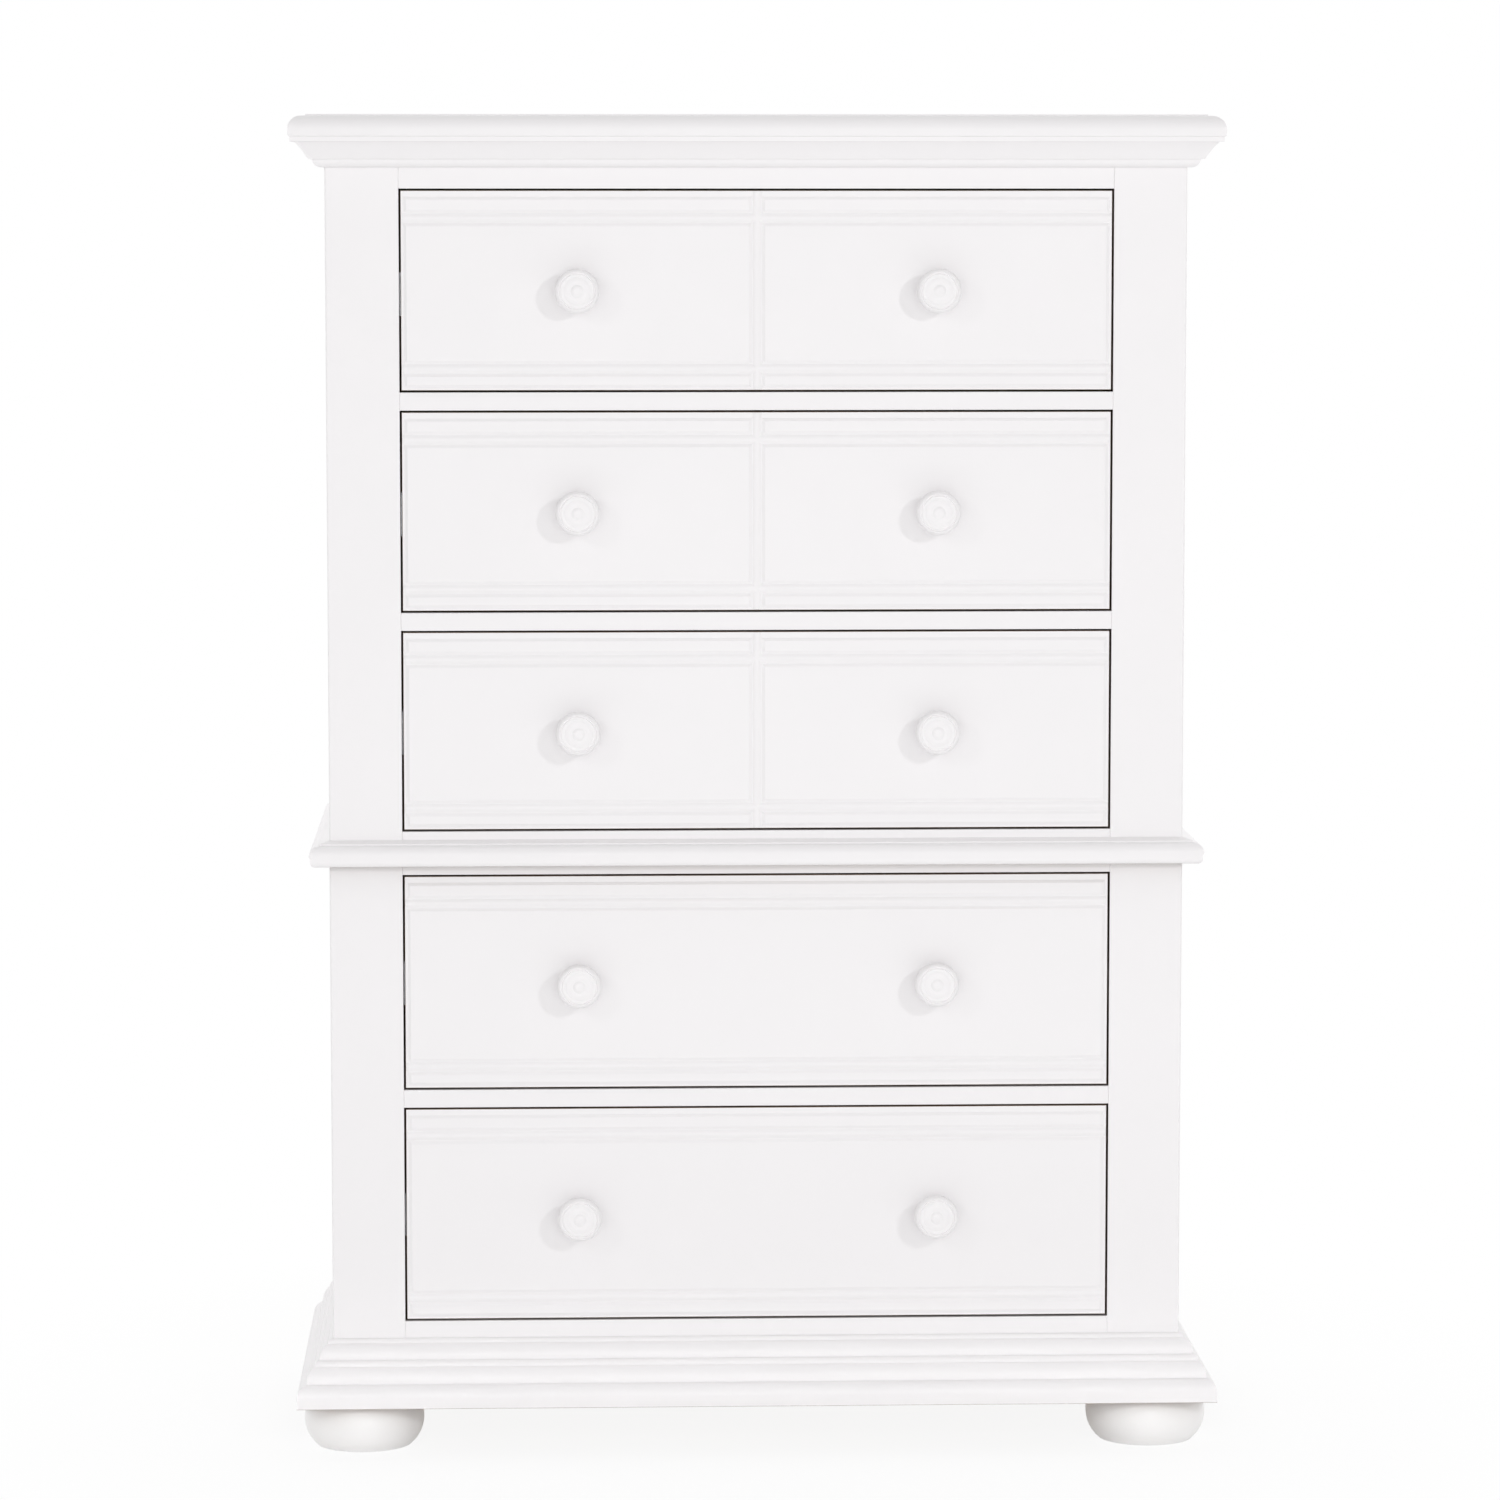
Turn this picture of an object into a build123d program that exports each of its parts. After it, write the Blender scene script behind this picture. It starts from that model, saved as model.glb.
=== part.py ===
from build123d import *
import os
from math import atan, degrees

# Tall chest of drawers, in millimetres. +Z is up, the front faces -Y, and the origin lies on the floor
# under the middle of the whole object, knobs included.

# Case
case_width = 892.0
case_depth = 415.0
stile_width = 76.0
frame_thickness = 22.0
side_thickness = 19.0
back_thickness = 5.0
back_inset = 3.0
bottom_thickness = 18.0
panel_rebate = 8.0
tongue_thickness = 6.0
tongue_length = 8.0
tenon_length = 25.0
tenon_thickness = 8.0
tenon_shoulder = 4.0
frame_easing = 0.8
corner_easing = 2.0

# Heights of the face frame, from the floor up
foot_height = 50.3
bottom_rail_height = 85.9
lower_opening = 226.9
rail_height = 18.7
waist_rail_height = 45.4
upper_opening = 209.8
top_rail_height = 52.9

# Edge of the top panel, from its upper face down: a step, a shelf, a round nose and an eased underside
top_overhang = 36.0
nose_step = 1.4
nose_shelf = 3.5
nose_radius = 14.0
nose_flat = 5.2
nose_easing = 2.5

# Crown moulding, from the top down: a square fillet, a shallow cove, a ledge and a round bead
crown_fillet_width = 4.5
crown_fillet_height = 4.8
crown_cove_width = 13.5
crown_cove_height = 17.8
crown_cove_hollow = 0.8
crown_ledge_width = 4.0
crown_bead_width = 12.0
crown_bead_height = 8.4
crown_bead_round = 8.0

# Waist moulding, from the top down: a sloped top, a quirk, a round nose, a set-back band and a round foot
waist_reveal = 8.6
waist_slope_width = 9.6
waist_slope_height = 3.0
waist_quirk = 1.7
waist_shelf = 0.8
waist_nose_width = 10.2
waist_nose_height = 10.4
waist_nose_flat = 1.6
waist_setback = 1.2
waist_band_height = 5.0
waist_foot_round = 4.8

# Base moulding, from the top down: each step's width out, its height and the height of its rounded edge
base_steps = (
    (5.2, 4.6, 4.2),
    (8.6, 16.0, 14.0),
    (5.2, 6.5, 5.4),
    (7.8, 16.9, 15.0),
    (10.2, 24.3, 13.0),
)
base_ledge_width = 1.0

# Bun feet and the hanger bolts that hold them
foot_radius = 63.2
foot_belly = 27.5
foot_flat_radius = 50.0
foot_top_radius = 56.0
foot_back_inset = 4.0
bolt_edge = 12.5
bolt_diameter = 8.0
bolt_clearance = 0.2
bolt_in_foot = 25.0
bolt_in_post = 30.0

# Slides: three nested channels of folded sheet on each side of a drawer
post_depth = 60.0
slide_thickness = 12.7
slide_height = 45.0
slide_sheet = 1.2
slide_race = 3.8
slide_running_gap = 0.3
slide_setback = 2.0
slide_end_inset = 4.0

# Drawer fronts
front_thickness = 22.0
front_gap = 1.9
front_recess = 1.6
front_bevel = 3.0
front_easing = 0.8
front_end_ledge = 3.0
front_top_ledge = 6.4
front_top_strip = 16.6
front_bottom_ledge = 2.9
front_bottom_strip = 14.4
bead_slot = 10.4
bead_width = 9.0
bead_height = 1.6

# Drawer boxes
box_side_thickness = 12.0
box_back_thickness = 12.0
box_bottom_thickness = 6.0
box_bottom_rise = 10.0
box_groove = 6.0
box_back_clearance = 29.0
box_drop = 24.0
box_lift = 16.0
french_neck = 6.0
french_width = 8.6
french_depth = 9.0
tail_count = 5
tail_slope = 0.16
pin_width = 13.0

# Knobs and their screws
knob_spacing = 373.0
knob_radius = 23.0
knob_projection = 42.0
knob_foot_radius = 13.0
knob_foot_height = 4.0
knob_neck_radius = 9.5
knob_head_height = 17.0
knob_under_radius = 16.0
knob_face_radius = 19.6
knob_groove_width = 2.6
knob_groove_depth = 1.0
knob_dome_rise = 0.8
knob_button_radius = 6.2
knob_button_rise = 1.2
screw_diameter = 4.0
screw_clearance = 0.2
screw_in_knob = 14.0
screw_head_diameter = 9.0
screw_head_height = 2.6
screw_head_chamfer = 1.0

# Planes and heights that follow from the sizes above
top_thickness = nose_step + nose_radius + nose_flat + nose_easing
crown_height = crown_fillet_height + crown_cove_height + crown_bead_height
crown_overhang = crown_fillet_width + crown_cove_width + crown_ledge_width + crown_bead_width
waist_nose_bottom = waist_foot_round + waist_band_height
waist_nose_top = waist_nose_bottom + waist_nose_flat + waist_nose_height
waist_height = waist_nose_top + waist_quirk + waist_slope_height
waist_overhang = waist_slope_width + waist_shelf + waist_nose_width
base_height = sum(height for width, height, rounding in base_steps)
base_overhang = sum(width for width, height, rounding in base_steps)
front_reach = max(knob_projection, base_overhang, top_overhang)
face_y = (front_reach - case_depth) / 2
frame_back_y = face_y + frame_thickness
front_back_y = face_y + front_thickness
back_y = face_y + case_depth
panel_back_y = back_y - back_inset - back_thickness
side_x = case_width / 2
side_inner_x = side_x - side_thickness
side_middle_x = side_x - side_thickness / 2
rebate_x = side_inner_x + panel_rebate
opening_x = side_x - stile_width
front_x = opening_x - front_gap
box_x = opening_x - slide_thickness
box_inner_x = box_x - box_side_thickness
box_middle_x = box_x - box_side_thickness / 2
groove_x = box_inner_x + box_groove
box_rear_y = panel_back_y - box_back_clearance
case_bottom = foot_height
floor_top = case_bottom + bottom_thickness
foot_x = side_inner_x - bolt_edge
front_foot_y = frame_back_y + bolt_edge
rear_foot_y = back_y - foot_back_inset - foot_radius
foot_places = [(x, y, 0) for x in (-foot_x, foot_x) for y in (front_foot_y, rear_foot_y)]
slide_front_y = max(frame_back_y, front_back_y) + slide_setback
slide_length = box_rear_y - slide_end_inset - slide_front_y
recess_y = face_y + front_recess

# Openings and rails, stacked from the bottom rail up to the top rail
openings = {}
rails = {"bottom_rail": (case_bottom, case_bottom + bottom_rail_height)}
level = case_bottom + bottom_rail_height
stack = (
    (5, lower_opening, "lower_drawer_rail", rail_height),
    (4, lower_opening, "waist_rail", waist_rail_height),
    (3, upper_opening, "upper_drawer_rail_2", rail_height),
    (2, upper_opening, "upper_drawer_rail_1", rail_height),
    (1, upper_opening, "top_rail", top_rail_height),
)
for number, opening_height, rail_above, rail_above_height in stack:
    openings[number] = (level, level + opening_height)
    level += opening_height
    rails[rail_above] = (level, level + rail_above_height)
    level += rail_above_height
case_top = level
case_height = case_top - case_bottom
waist_bottom = rails["waist_rail"][1] - waist_reveal - waist_height
split_drawers = (1, 2, 3)

os.makedirs("parts", exist_ok=True)


def save(part, name):
    """Labels a finished piece and writes it to its own file."""
    part.label = name
    export_step(part, f"parts/{name}.step")


def board(x, y, z, mode=Mode.ADD):
    """Adds or cuts a square-edged board between two places along each axis."""
    with Locations(((x[0] + x[1]) / 2, (y[0] + y[1]) / 2, (z[0] + z[1]) / 2)):
        Box(x[1] - x[0], y[1] - y[0], z[1] - z[0], mode=mode)


# Top panel: one edge profile along the front and both ends, mitred where the runs meet
def top_outline(run):
    """Section through the moulded edge; run is how far the panel reaches in behind the case's face."""
    step = top_overhang - nose_radius - nose_shelf
    shelf = top_thickness - nose_step
    Polyline(
        (top_overhang - nose_easing, 0),
        (-run, 0),
        (-run, top_thickness),
        (step, top_thickness),
        (step, shelf),
        (step + nose_shelf, shelf),
    )
    CenterArc((top_overhang - nose_radius, shelf - nose_radius), nose_radius, 0, 90)
    Line((top_overhang, shelf - nose_radius), (top_overhang, nose_easing))
    CenterArc((top_overhang - nose_easing, nose_easing), nose_easing, 270, 90)


front_section = Plane((0, face_y, case_top), x_dir=(0, -1, 0), z_dir=(-1, 0, 0))
left_section = Plane((-side_x, back_y, case_top), x_dir=(-1, 0, 0), z_dir=(0, 1, 0))
with BuildPart() as top_panel:
    with BuildSketch(left_section):
        with BuildLine():
            top_outline(side_x)
        make_face()
    extrude(amount=-(case_depth + top_overhang))
    mirror(about=Plane.YZ)
    with BuildSketch(front_section):
        with BuildLine():
            top_outline(case_depth)
        make_face()
    extrude(amount=side_x + top_overhang, both=True, mode=Mode.INTERSECT)
save(top_panel.part, "top_panel")


# Mouldings: each is a front length and two returns, cut from one profile and mitred at the corners
left_mitre = Plane((-side_x, face_y, 0), z_dir=(1, -1, 0))
right_mitre = Plane((side_x, face_y, 0), z_dir=(-1, -1, 0))


def save_moulding(profile, bottom, overhang, name):
    """Runs a profile of (overhang, height) round the front and sides of the case."""
    with BuildPart() as front:
        with BuildSketch(Plane((0, face_y, bottom), x_dir=(0, -1, 0), z_dir=(-1, 0, 0))):
            add(profile)
        extrude(amount=side_x + overhang, both=True)
        split(bisect_by=left_mitre, keep=Keep.TOP)
        split(bisect_by=right_mitre, keep=Keep.TOP)
    with BuildPart() as left_return:
        with BuildSketch(Plane((-side_x, back_y, bottom), x_dir=(-1, 0, 0), z_dir=(0, 1, 0))):
            add(profile)
        extrude(amount=-(case_depth + overhang))
        split(bisect_by=left_mitre, keep=Keep.BOTTOM)
    right_return = mirror(left_return.part, about=Plane.YZ, mode=Mode.PRIVATE)
    save(Compound([*front.solids(), *left_return.solids(), *right_return.solids()]), name)


with BuildSketch() as crown_profile:
    with BuildLine():
        cove_bottom = crown_bead_height
        cove_top = crown_bead_height + crown_cove_height
        cove_in = crown_bead_width + crown_ledge_width
        cove_out = cove_in + crown_cove_width
        Polyline(
            (cove_out, cove_top),
            (crown_overhang, cove_top),
            (crown_overhang, crown_height),
            (0, crown_height),
            (0, 0),
            (crown_bead_width - crown_bead_round, 0),
        )
        TangentArc(
            (crown_bead_width, cove_bottom), (crown_bead_width - crown_bead_round, 0), tangent=(0, -1)
        )
        Line((crown_bead_width, cove_bottom), (cove_in, cove_bottom))
        SagittaArc((cove_in, cove_bottom), (cove_out, cove_top), crown_cove_hollow)
    make_face()
save_moulding(crown_profile.sketch, case_top - crown_height, crown_overhang, "crown_moulding")

with BuildSketch() as waist_profile:
    with BuildLine():
        nose_in = waist_slope_width + waist_shelf
        nose_foot = waist_nose_top - waist_nose_height
        band_x = waist_overhang - waist_setback
        Polyline(
            (band_x - waist_foot_round, 0),
            (0, 0),
            (0, waist_height),
            (waist_slope_width, waist_height - waist_slope_height),
            (waist_slope_width, waist_nose_top),
            (nose_in, waist_nose_top),
        )
        TangentArc((waist_overhang, nose_foot), (nose_in, waist_nose_top), tangent=(0, 1))
        Polyline(
            (waist_overhang, nose_foot),
            (waist_overhang, waist_nose_bottom),
            (band_x, waist_nose_bottom),
            (band_x, waist_foot_round),
        )
        CenterArc((band_x - waist_foot_round, waist_foot_round), waist_foot_round, 270, 90)
    make_face()
save_moulding(waist_profile.sketch, waist_bottom, waist_overhang, "waist_moulding")

with BuildSketch() as base_profile:
    with BuildLine():
        Polyline((base_overhang, 0), (0, 0), (0, base_height))
        out = 0
        height = base_height
        for step_width, step_height, rounding in base_steps:
            round_in = out + base_ledge_width
            Line((out, height), (round_in, height))
            out += step_width
            TangentArc((out, height - rounding), (round_in, height), tangent=(0, 1))
            Line((out, height - rounding), (out, height - step_height))
            height -= step_height
    make_face()
save_moulding(base_profile.sketch, case_bottom, base_overhang, "base_moulding")


# Face frame: stiles run the full height, and the rails are tenoned between them
def tenon_span(rail):
    """Height range of a rail's tenons, inside their shoulders."""
    return (rail[0] + tenon_shoulder, rail[1] - tenon_shoulder)


tenon_y = (
    face_y + (frame_thickness - tenon_thickness) / 2,
    face_y + (frame_thickness + tenon_thickness) / 2,
)
with BuildPart() as left_stile:
    board((-side_x, -opening_x), (face_y, frame_back_y), (case_bottom, case_top))
    fillet(left_stile.edges().filter_by(Axis.Z).group_by(Axis.Y)[0].sort_by(Axis.X)[0], corner_easing)
    fillet(left_stile.edges().filter_by(Axis.Z).group_by(Axis.Y)[0].sort_by(Axis.X)[-1], frame_easing)
    board(
        (-side_middle_x - tongue_thickness / 2, -side_middle_x + tongue_thickness / 2),
        (frame_back_y - tongue_length, frame_back_y),
        (case_bottom, case_top),
        mode=Mode.SUBTRACT,
    )
    for rail in rails.values():
        board((-opening_x - tenon_length, -opening_x), tenon_y, tenon_span(rail), mode=Mode.SUBTRACT)
save(left_stile.part, "left_stile")

with BuildPart() as right_stile:
    mirror(left_stile.part, about=Plane.YZ)
save(right_stile.part, "right_stile")

for rail_name, rail in rails.items():
    with BuildPart() as frame_rail:
        board((-opening_x, opening_x), (face_y, frame_back_y), rail)
        fillet(frame_rail.faces().sort_by(Axis.Y)[0].edges(), frame_easing)
        board((-opening_x - tenon_length, opening_x + tenon_length), tenon_y, tenon_span(rail))
    save(frame_rail.part, rail_name)

# Side panels: tongued into the stiles, rebated inside for the back and along the foot for the bottom
with BuildPart() as left_side_panel:
    with BuildSketch(Plane.XY.offset(case_bottom)):
        with BuildLine():
            Polyline(
                (-side_x, frame_back_y),
                (-side_middle_x - tongue_thickness / 2, frame_back_y),
                (-side_middle_x - tongue_thickness / 2, frame_back_y - tongue_length),
                (-side_middle_x + tongue_thickness / 2, frame_back_y - tongue_length),
                (-side_middle_x + tongue_thickness / 2, frame_back_y),
                (-side_inner_x, frame_back_y),
                (-side_inner_x, panel_back_y),
                (-rebate_x, panel_back_y),
                (-rebate_x, back_y),
                (-side_x, back_y),
                close=True,
            )
        make_face()
    extrude(amount=case_height)
    board(
        (-rebate_x, -side_inner_x),
        (frame_back_y, panel_back_y),
        (case_bottom, floor_top),
        mode=Mode.SUBTRACT,
    )
save(left_side_panel.part, "left_side_panel")

with BuildPart() as right_side_panel:
    mirror(left_side_panel.part, about=Plane.YZ)
save(right_side_panel.part, "right_side_panel")

with BuildPart() as back_panel:
    board((-rebate_x, rebate_x), (panel_back_y, panel_back_y + back_thickness), (case_bottom, case_top))
save(back_panel.part, "back_panel")

bolt_hole_radius = bolt_diameter / 2 + bolt_clearance
with BuildPart() as bottom_panel:
    board((-rebate_x, rebate_x), (frame_back_y, panel_back_y), (case_bottom, floor_top))
    with Locations(*foot_places):
        with Locations((0, 0, floor_top)):
            Hole(bolt_hole_radius)
save(bottom_panel.part, "bottom_panel")

# Slide posts: they stand on the bottom panel over the feet, flush with the edges of the openings
with BuildPart() as slide_posts:
    board((-side_inner_x, -opening_x), (frame_back_y, frame_back_y + post_depth), (floor_top, case_top))
    board(
        (-side_inner_x, -opening_x),
        (rear_foot_y - post_depth / 2, rear_foot_y + post_depth / 2),
        (floor_top, case_top),
    )
    for y in (front_foot_y, rear_foot_y):
        with Locations((-foot_x, y, floor_top)):
            Cylinder(
                bolt_hole_radius,
                bolt_in_post + bolt_clearance,
                align=(Align.CENTER, Align.CENTER, Align.MIN),
                mode=Mode.SUBTRACT,
            )
    mirror(about=Plane.YZ)
save(slide_posts.part, "slide_posts")

# Bun feet: turned, with a blind hole for the bolt
with BuildPart() as bun_foot:
    with BuildSketch(Plane.XZ):
        with BuildLine():
            Polyline((foot_flat_radius, 0), (0, 0), (0, foot_height), (foot_top_radius, foot_height))
            ThreePointArc(
                (foot_flat_radius, 0), (foot_radius, foot_belly), (foot_top_radius, foot_height)
            )
        make_face()
    revolve(axis=Axis.Z)
    with Locations((0, 0, foot_height)):
        Hole(bolt_hole_radius, depth=bolt_in_foot + bolt_clearance)
with BuildPart() as bun_feet:
    with Locations(*foot_places):
        add(bun_foot.part)
save(bun_feet.part, "bun_feet")

with BuildPart() as foot_bolts:
    with Locations(*foot_places):
        with Locations((0, 0, foot_height - bolt_in_foot)):
            Cylinder(
                bolt_diameter / 2,
                bolt_in_foot + bottom_thickness + bolt_in_post,
                align=(Align.CENTER, Align.CENTER, Align.MIN),
            )
save(foot_bolts.part, "foot_bolts")


# Slides: the case member, the carriage and the drawer member nest with a running gap between them
channel_depth = slide_thickness - 2 * (slide_sheet + slide_running_gap)
channel_lip = slide_sheet + slide_race - slide_running_gap
case_half = slide_height / 2
carriage_half = case_half - slide_sheet - slide_race
drawer_half = carriage_half - slide_sheet - slide_race


def box_span(number):
    """Height range of a drawer's box sides."""
    low, high = openings[number]
    return (low + box_lift, high - box_drop)


def channel(number, web_x, opens, half, lip):
    """Section of a left channel: its web stands at web_x, and it opens towards +X (1) or -X (-1)."""
    middle_z = sum(box_span(number)) / 2
    with BuildSketch(Plane.XZ.offset(-slide_front_y)) as section:
        with Locations((web_x + opens * channel_depth / 2, middle_z)):
            Rectangle(channel_depth, 2 * half)
            Rectangle(channel_depth - 2 * slide_sheet, 2 * (half - slide_sheet), mode=Mode.SUBTRACT)
        with Locations((web_x + opens * (channel_depth + slide_sheet) / 2, middle_z)):
            Rectangle(channel_depth - slide_sheet, 2 * (half - lip), mode=Mode.SUBTRACT)
    return section.sketch


with BuildPart() as outer_slides:
    for number in openings:
        extrude(channel(number, -opening_x, 1, case_half, channel_lip), amount=-slide_length)
    mirror(about=Plane.YZ)
save(outer_slides.part, "outer_slides")

carriage_x = opening_x - slide_sheet - slide_running_gap
for number in openings:
    with BuildPart() as carriage:
        extrude(channel(number, -carriage_x, 1, carriage_half, channel_lip), amount=-slide_length)
        mirror(about=Plane.YZ)
    save(carriage.part, f"carriage_{number}")
    with BuildPart() as inner_slides:
        extrude(channel(number, -box_x, -1, drawer_half, slide_sheet), amount=-slide_length)
        mirror(about=Plane.YZ)
    save(inner_slides.part, f"drawer_{number}_inner_slides")

# Knob: turned, with a waisted neck, a round rim, a ring cut in its face and a button in the middle
knob_section = Plane((0, 0, 0), x_dir=(1, 0, 0), z_dir=(0, 0, -1))
screw_hole_radius = screw_diameter / 2 + screw_clearance
with BuildPart() as knob:
    with BuildSketch(knob_section):
        with BuildLine():
            head_low = knob_projection - knob_head_height
            button_foot = knob_projection - knob_button_rise
            face = button_foot - knob_dome_rise
            dome_radius = knob_face_radius - knob_groove_width
            Polyline(
                (0, knob_projection),
                (0, 0),
                (knob_foot_radius, 0),
                (knob_foot_radius, knob_foot_height),
            )
            ThreePointArc(
                (knob_foot_radius, knob_foot_height),
                (knob_neck_radius, (knob_foot_height + head_low) / 2),
                (knob_under_radius, head_low),
            )
            ThreePointArc(
                (knob_under_radius, head_low),
                (knob_radius, (head_low + face) / 2),
                (knob_face_radius, face),
            )
            Polyline(
                (knob_face_radius, face),
                (knob_face_radius - knob_groove_width / 2, face - knob_groove_depth),
                (dome_radius, face),
                (knob_button_radius, button_foot),
            )
            TangentArc((0, knob_projection), (knob_button_radius, button_foot), tangent=(1, 0))
        make_face()
    revolve(axis=Axis.Y)
    with BuildSketch(Plane.XZ):
        Circle(screw_hole_radius)
    extrude(amount=screw_in_knob + screw_clearance, mode=Mode.SUBTRACT)

# Knob screw: its head bears on the back of the drawer front
with BuildPart() as knob_screw:
    with BuildSketch(Plane.XZ.offset(-front_thickness)):
        Circle(screw_head_diameter / 2)
    extrude(amount=-screw_head_height)
    chamfer(knob_screw.faces().sort_by(Axis.Y)[-1].edges(), screw_head_chamfer)
    with BuildSketch(Plane.XZ.offset(-front_thickness)):
        Circle(screw_diameter / 2)
    extrude(amount=front_thickness + screw_in_knob)


# Drawers: a beaded front, and a box joined to it with sliding dovetails and dovetailed at the back
bevel_angle = degrees(atan(front_bevel / front_recess))


def french_outline():
    """Sliding dovetail of the left box side, from its neck to its wide end inside the front."""
    Polyline(
        (-box_middle_x - french_neck / 2, front_back_y),
        (-box_middle_x + french_neck / 2, front_back_y),
        (-box_middle_x + french_width / 2, front_back_y - french_depth),
        (-box_middle_x - french_width / 2, front_back_y - french_depth),
        close=True,
    )


def pins(plane, low, high):
    """Pins of the box back, spaced evenly with half pins at the top and bottom."""
    box_rear_inside_y = box_rear_y - box_back_thickness
    flare = tail_slope * box_back_thickness / 2
    wide = pin_width / 2 + flare
    narrow = pin_width / 2 - flare
    with BuildSketch(plane) as rows:
        for index in range(tail_count + 1):
            middle = low + index * (high - low) / tail_count
            with BuildLine():
                Polyline(
                    (box_rear_inside_y, middle - wide),
                    (box_rear_y, middle - narrow),
                    (box_rear_y, middle + narrow),
                    (box_rear_inside_y, middle + wide),
                    close=True,
                )
            make_face()
        with Locations((box_rear_y - box_back_thickness / 2, (low + high) / 2)):
            Rectangle(box_back_thickness, high - low, mode=Mode.INTERSECT)
    return rows.sketch


for number, (low, high) in openings.items():
    bottom = low + front_gap
    top = high - front_gap
    middle = (bottom + top) / 2
    side_bottom, side_top = box_span(number)
    panel_low = side_bottom + box_bottom_rise
    panel_high = panel_low + box_bottom_thickness
    knob_places = [(-knob_spacing / 2, middle), (knob_spacing / 2, middle)]

    # Raised panels of the front, between the ledges at its edges and the slots of its beads
    strip_low = bottom + front_bottom_ledge + front_bottom_strip
    strip_high = top - front_top_ledge - front_top_strip
    bands = (
        (bottom + front_bottom_ledge, strip_low),
        (strip_low + bead_slot, strip_high - bead_slot),
        (strip_high, top - front_top_ledge),
    )
    panel_x = front_x - front_end_ledge
    columns = [(-panel_x, panel_x)]
    if number in split_drawers:
        columns = [(-panel_x, -bead_slot / 2), (bead_slot / 2, panel_x)]

    with BuildPart() as front:
        board((-front_x, front_x), (recess_y, front_back_y), (bottom, top))
        fillet(front.faces().sort_by(Axis.Y)[0].edges(), front_easing)
        with BuildSketch(Plane.XZ.offset(-recess_y)):
            for left, right in columns:
                for band_low, band_high in bands:
                    with Locations(((left + right) / 2, (band_low + band_high) / 2)):
                        Rectangle(right - left, band_high - band_low)
        extrude(amount=front_recess, taper=bevel_angle)
        for bead_z in (strip_low + bead_slot / 2, strip_high - bead_slot / 2):
            with BuildSketch(Plane.YZ):
                with BuildLine():
                    ThreePointArc(
                        (recess_y, bead_z - bead_width / 2),
                        (recess_y - bead_height, bead_z),
                        (recess_y, bead_z + bead_width / 2),
                    )
                    Line((recess_y, bead_z + bead_width / 2), (recess_y, bead_z - bead_width / 2))
                make_face()
            extrude(amount=front_x - front_easing, both=True)
        if number in split_drawers:
            with BuildSketch(Plane.XY.offset(bottom + front_easing)):
                with BuildLine():
                    ThreePointArc(
                        (-bead_width / 2, recess_y), (0, recess_y - bead_height), (bead_width / 2, recess_y)
                    )
                    Line((bead_width / 2, recess_y), (-bead_width / 2, recess_y))
                make_face()
            extrude(amount=top - bottom - 2 * front_easing)
        with BuildSketch(Plane.XY.offset(bottom)):
            with BuildLine():
                french_outline()
            make_face()
            mirror(about=Plane.YZ)
        extrude(amount=side_top - bottom, mode=Mode.SUBTRACT)
        board(
            (-groove_x, groove_x),
            (front_back_y - box_groove, front_back_y),
            (panel_low, panel_high),
            mode=Mode.SUBTRACT,
        )
        with BuildSketch(Plane.XZ.offset(-front_back_y)):
            with Locations(*knob_places):
                Circle(screw_hole_radius)
        extrude(amount=front_thickness, mode=Mode.SUBTRACT)
    save(front.part, f"drawer_{number}_front")

    with BuildPart() as sides:
        board((-box_x, -box_inner_x), (front_back_y, box_rear_y), (side_bottom, side_top))
        with BuildSketch(Plane.XY.offset(side_bottom)):
            with BuildLine():
                french_outline()
            make_face()
        extrude(amount=side_top - side_bottom)
        board(
            (-groove_x, -box_inner_x),
            (front_back_y - french_depth, box_rear_y),
            (panel_low, panel_high),
            mode=Mode.SUBTRACT,
        )
        side_sockets = pins(Plane.YZ.offset(-box_x), panel_high, side_top)
        extrude(side_sockets, amount=box_side_thickness, mode=Mode.SUBTRACT)
        mirror(about=Plane.YZ)
    save(sides.part, f"drawer_{number}_sides")

    with BuildPart() as box_back:
        board(
            (-box_inner_x, box_inner_x),
            (box_rear_y - box_back_thickness, box_rear_y),
            (panel_high, side_top),
        )
        back_pins = pins(Plane.YZ.offset(box_inner_x), panel_high, side_top)
        extrude(back_pins, amount=box_side_thickness)
        mirror(about=Plane.YZ)
    save(box_back.part, f"drawer_{number}_back")

    with BuildPart() as box_bottom:
        board((-groove_x, groove_x), (front_back_y - box_groove, box_rear_y), (panel_low, panel_high))
    save(box_bottom.part, f"drawer_{number}_bottom")

    with BuildPart() as knobs:
        with Locations(*[(x, face_y, z) for x, z in knob_places]):
            add(knob.part)
    save(knobs.part, f"drawer_{number}_knobs")

    with BuildPart() as knob_screws:
        with Locations(*[(x, face_y, z) for x, z in knob_places]):
            add(knob_screw.part)
    save(knob_screws.part, f"drawer_{number}_knob_screws")
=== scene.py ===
import math

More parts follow.
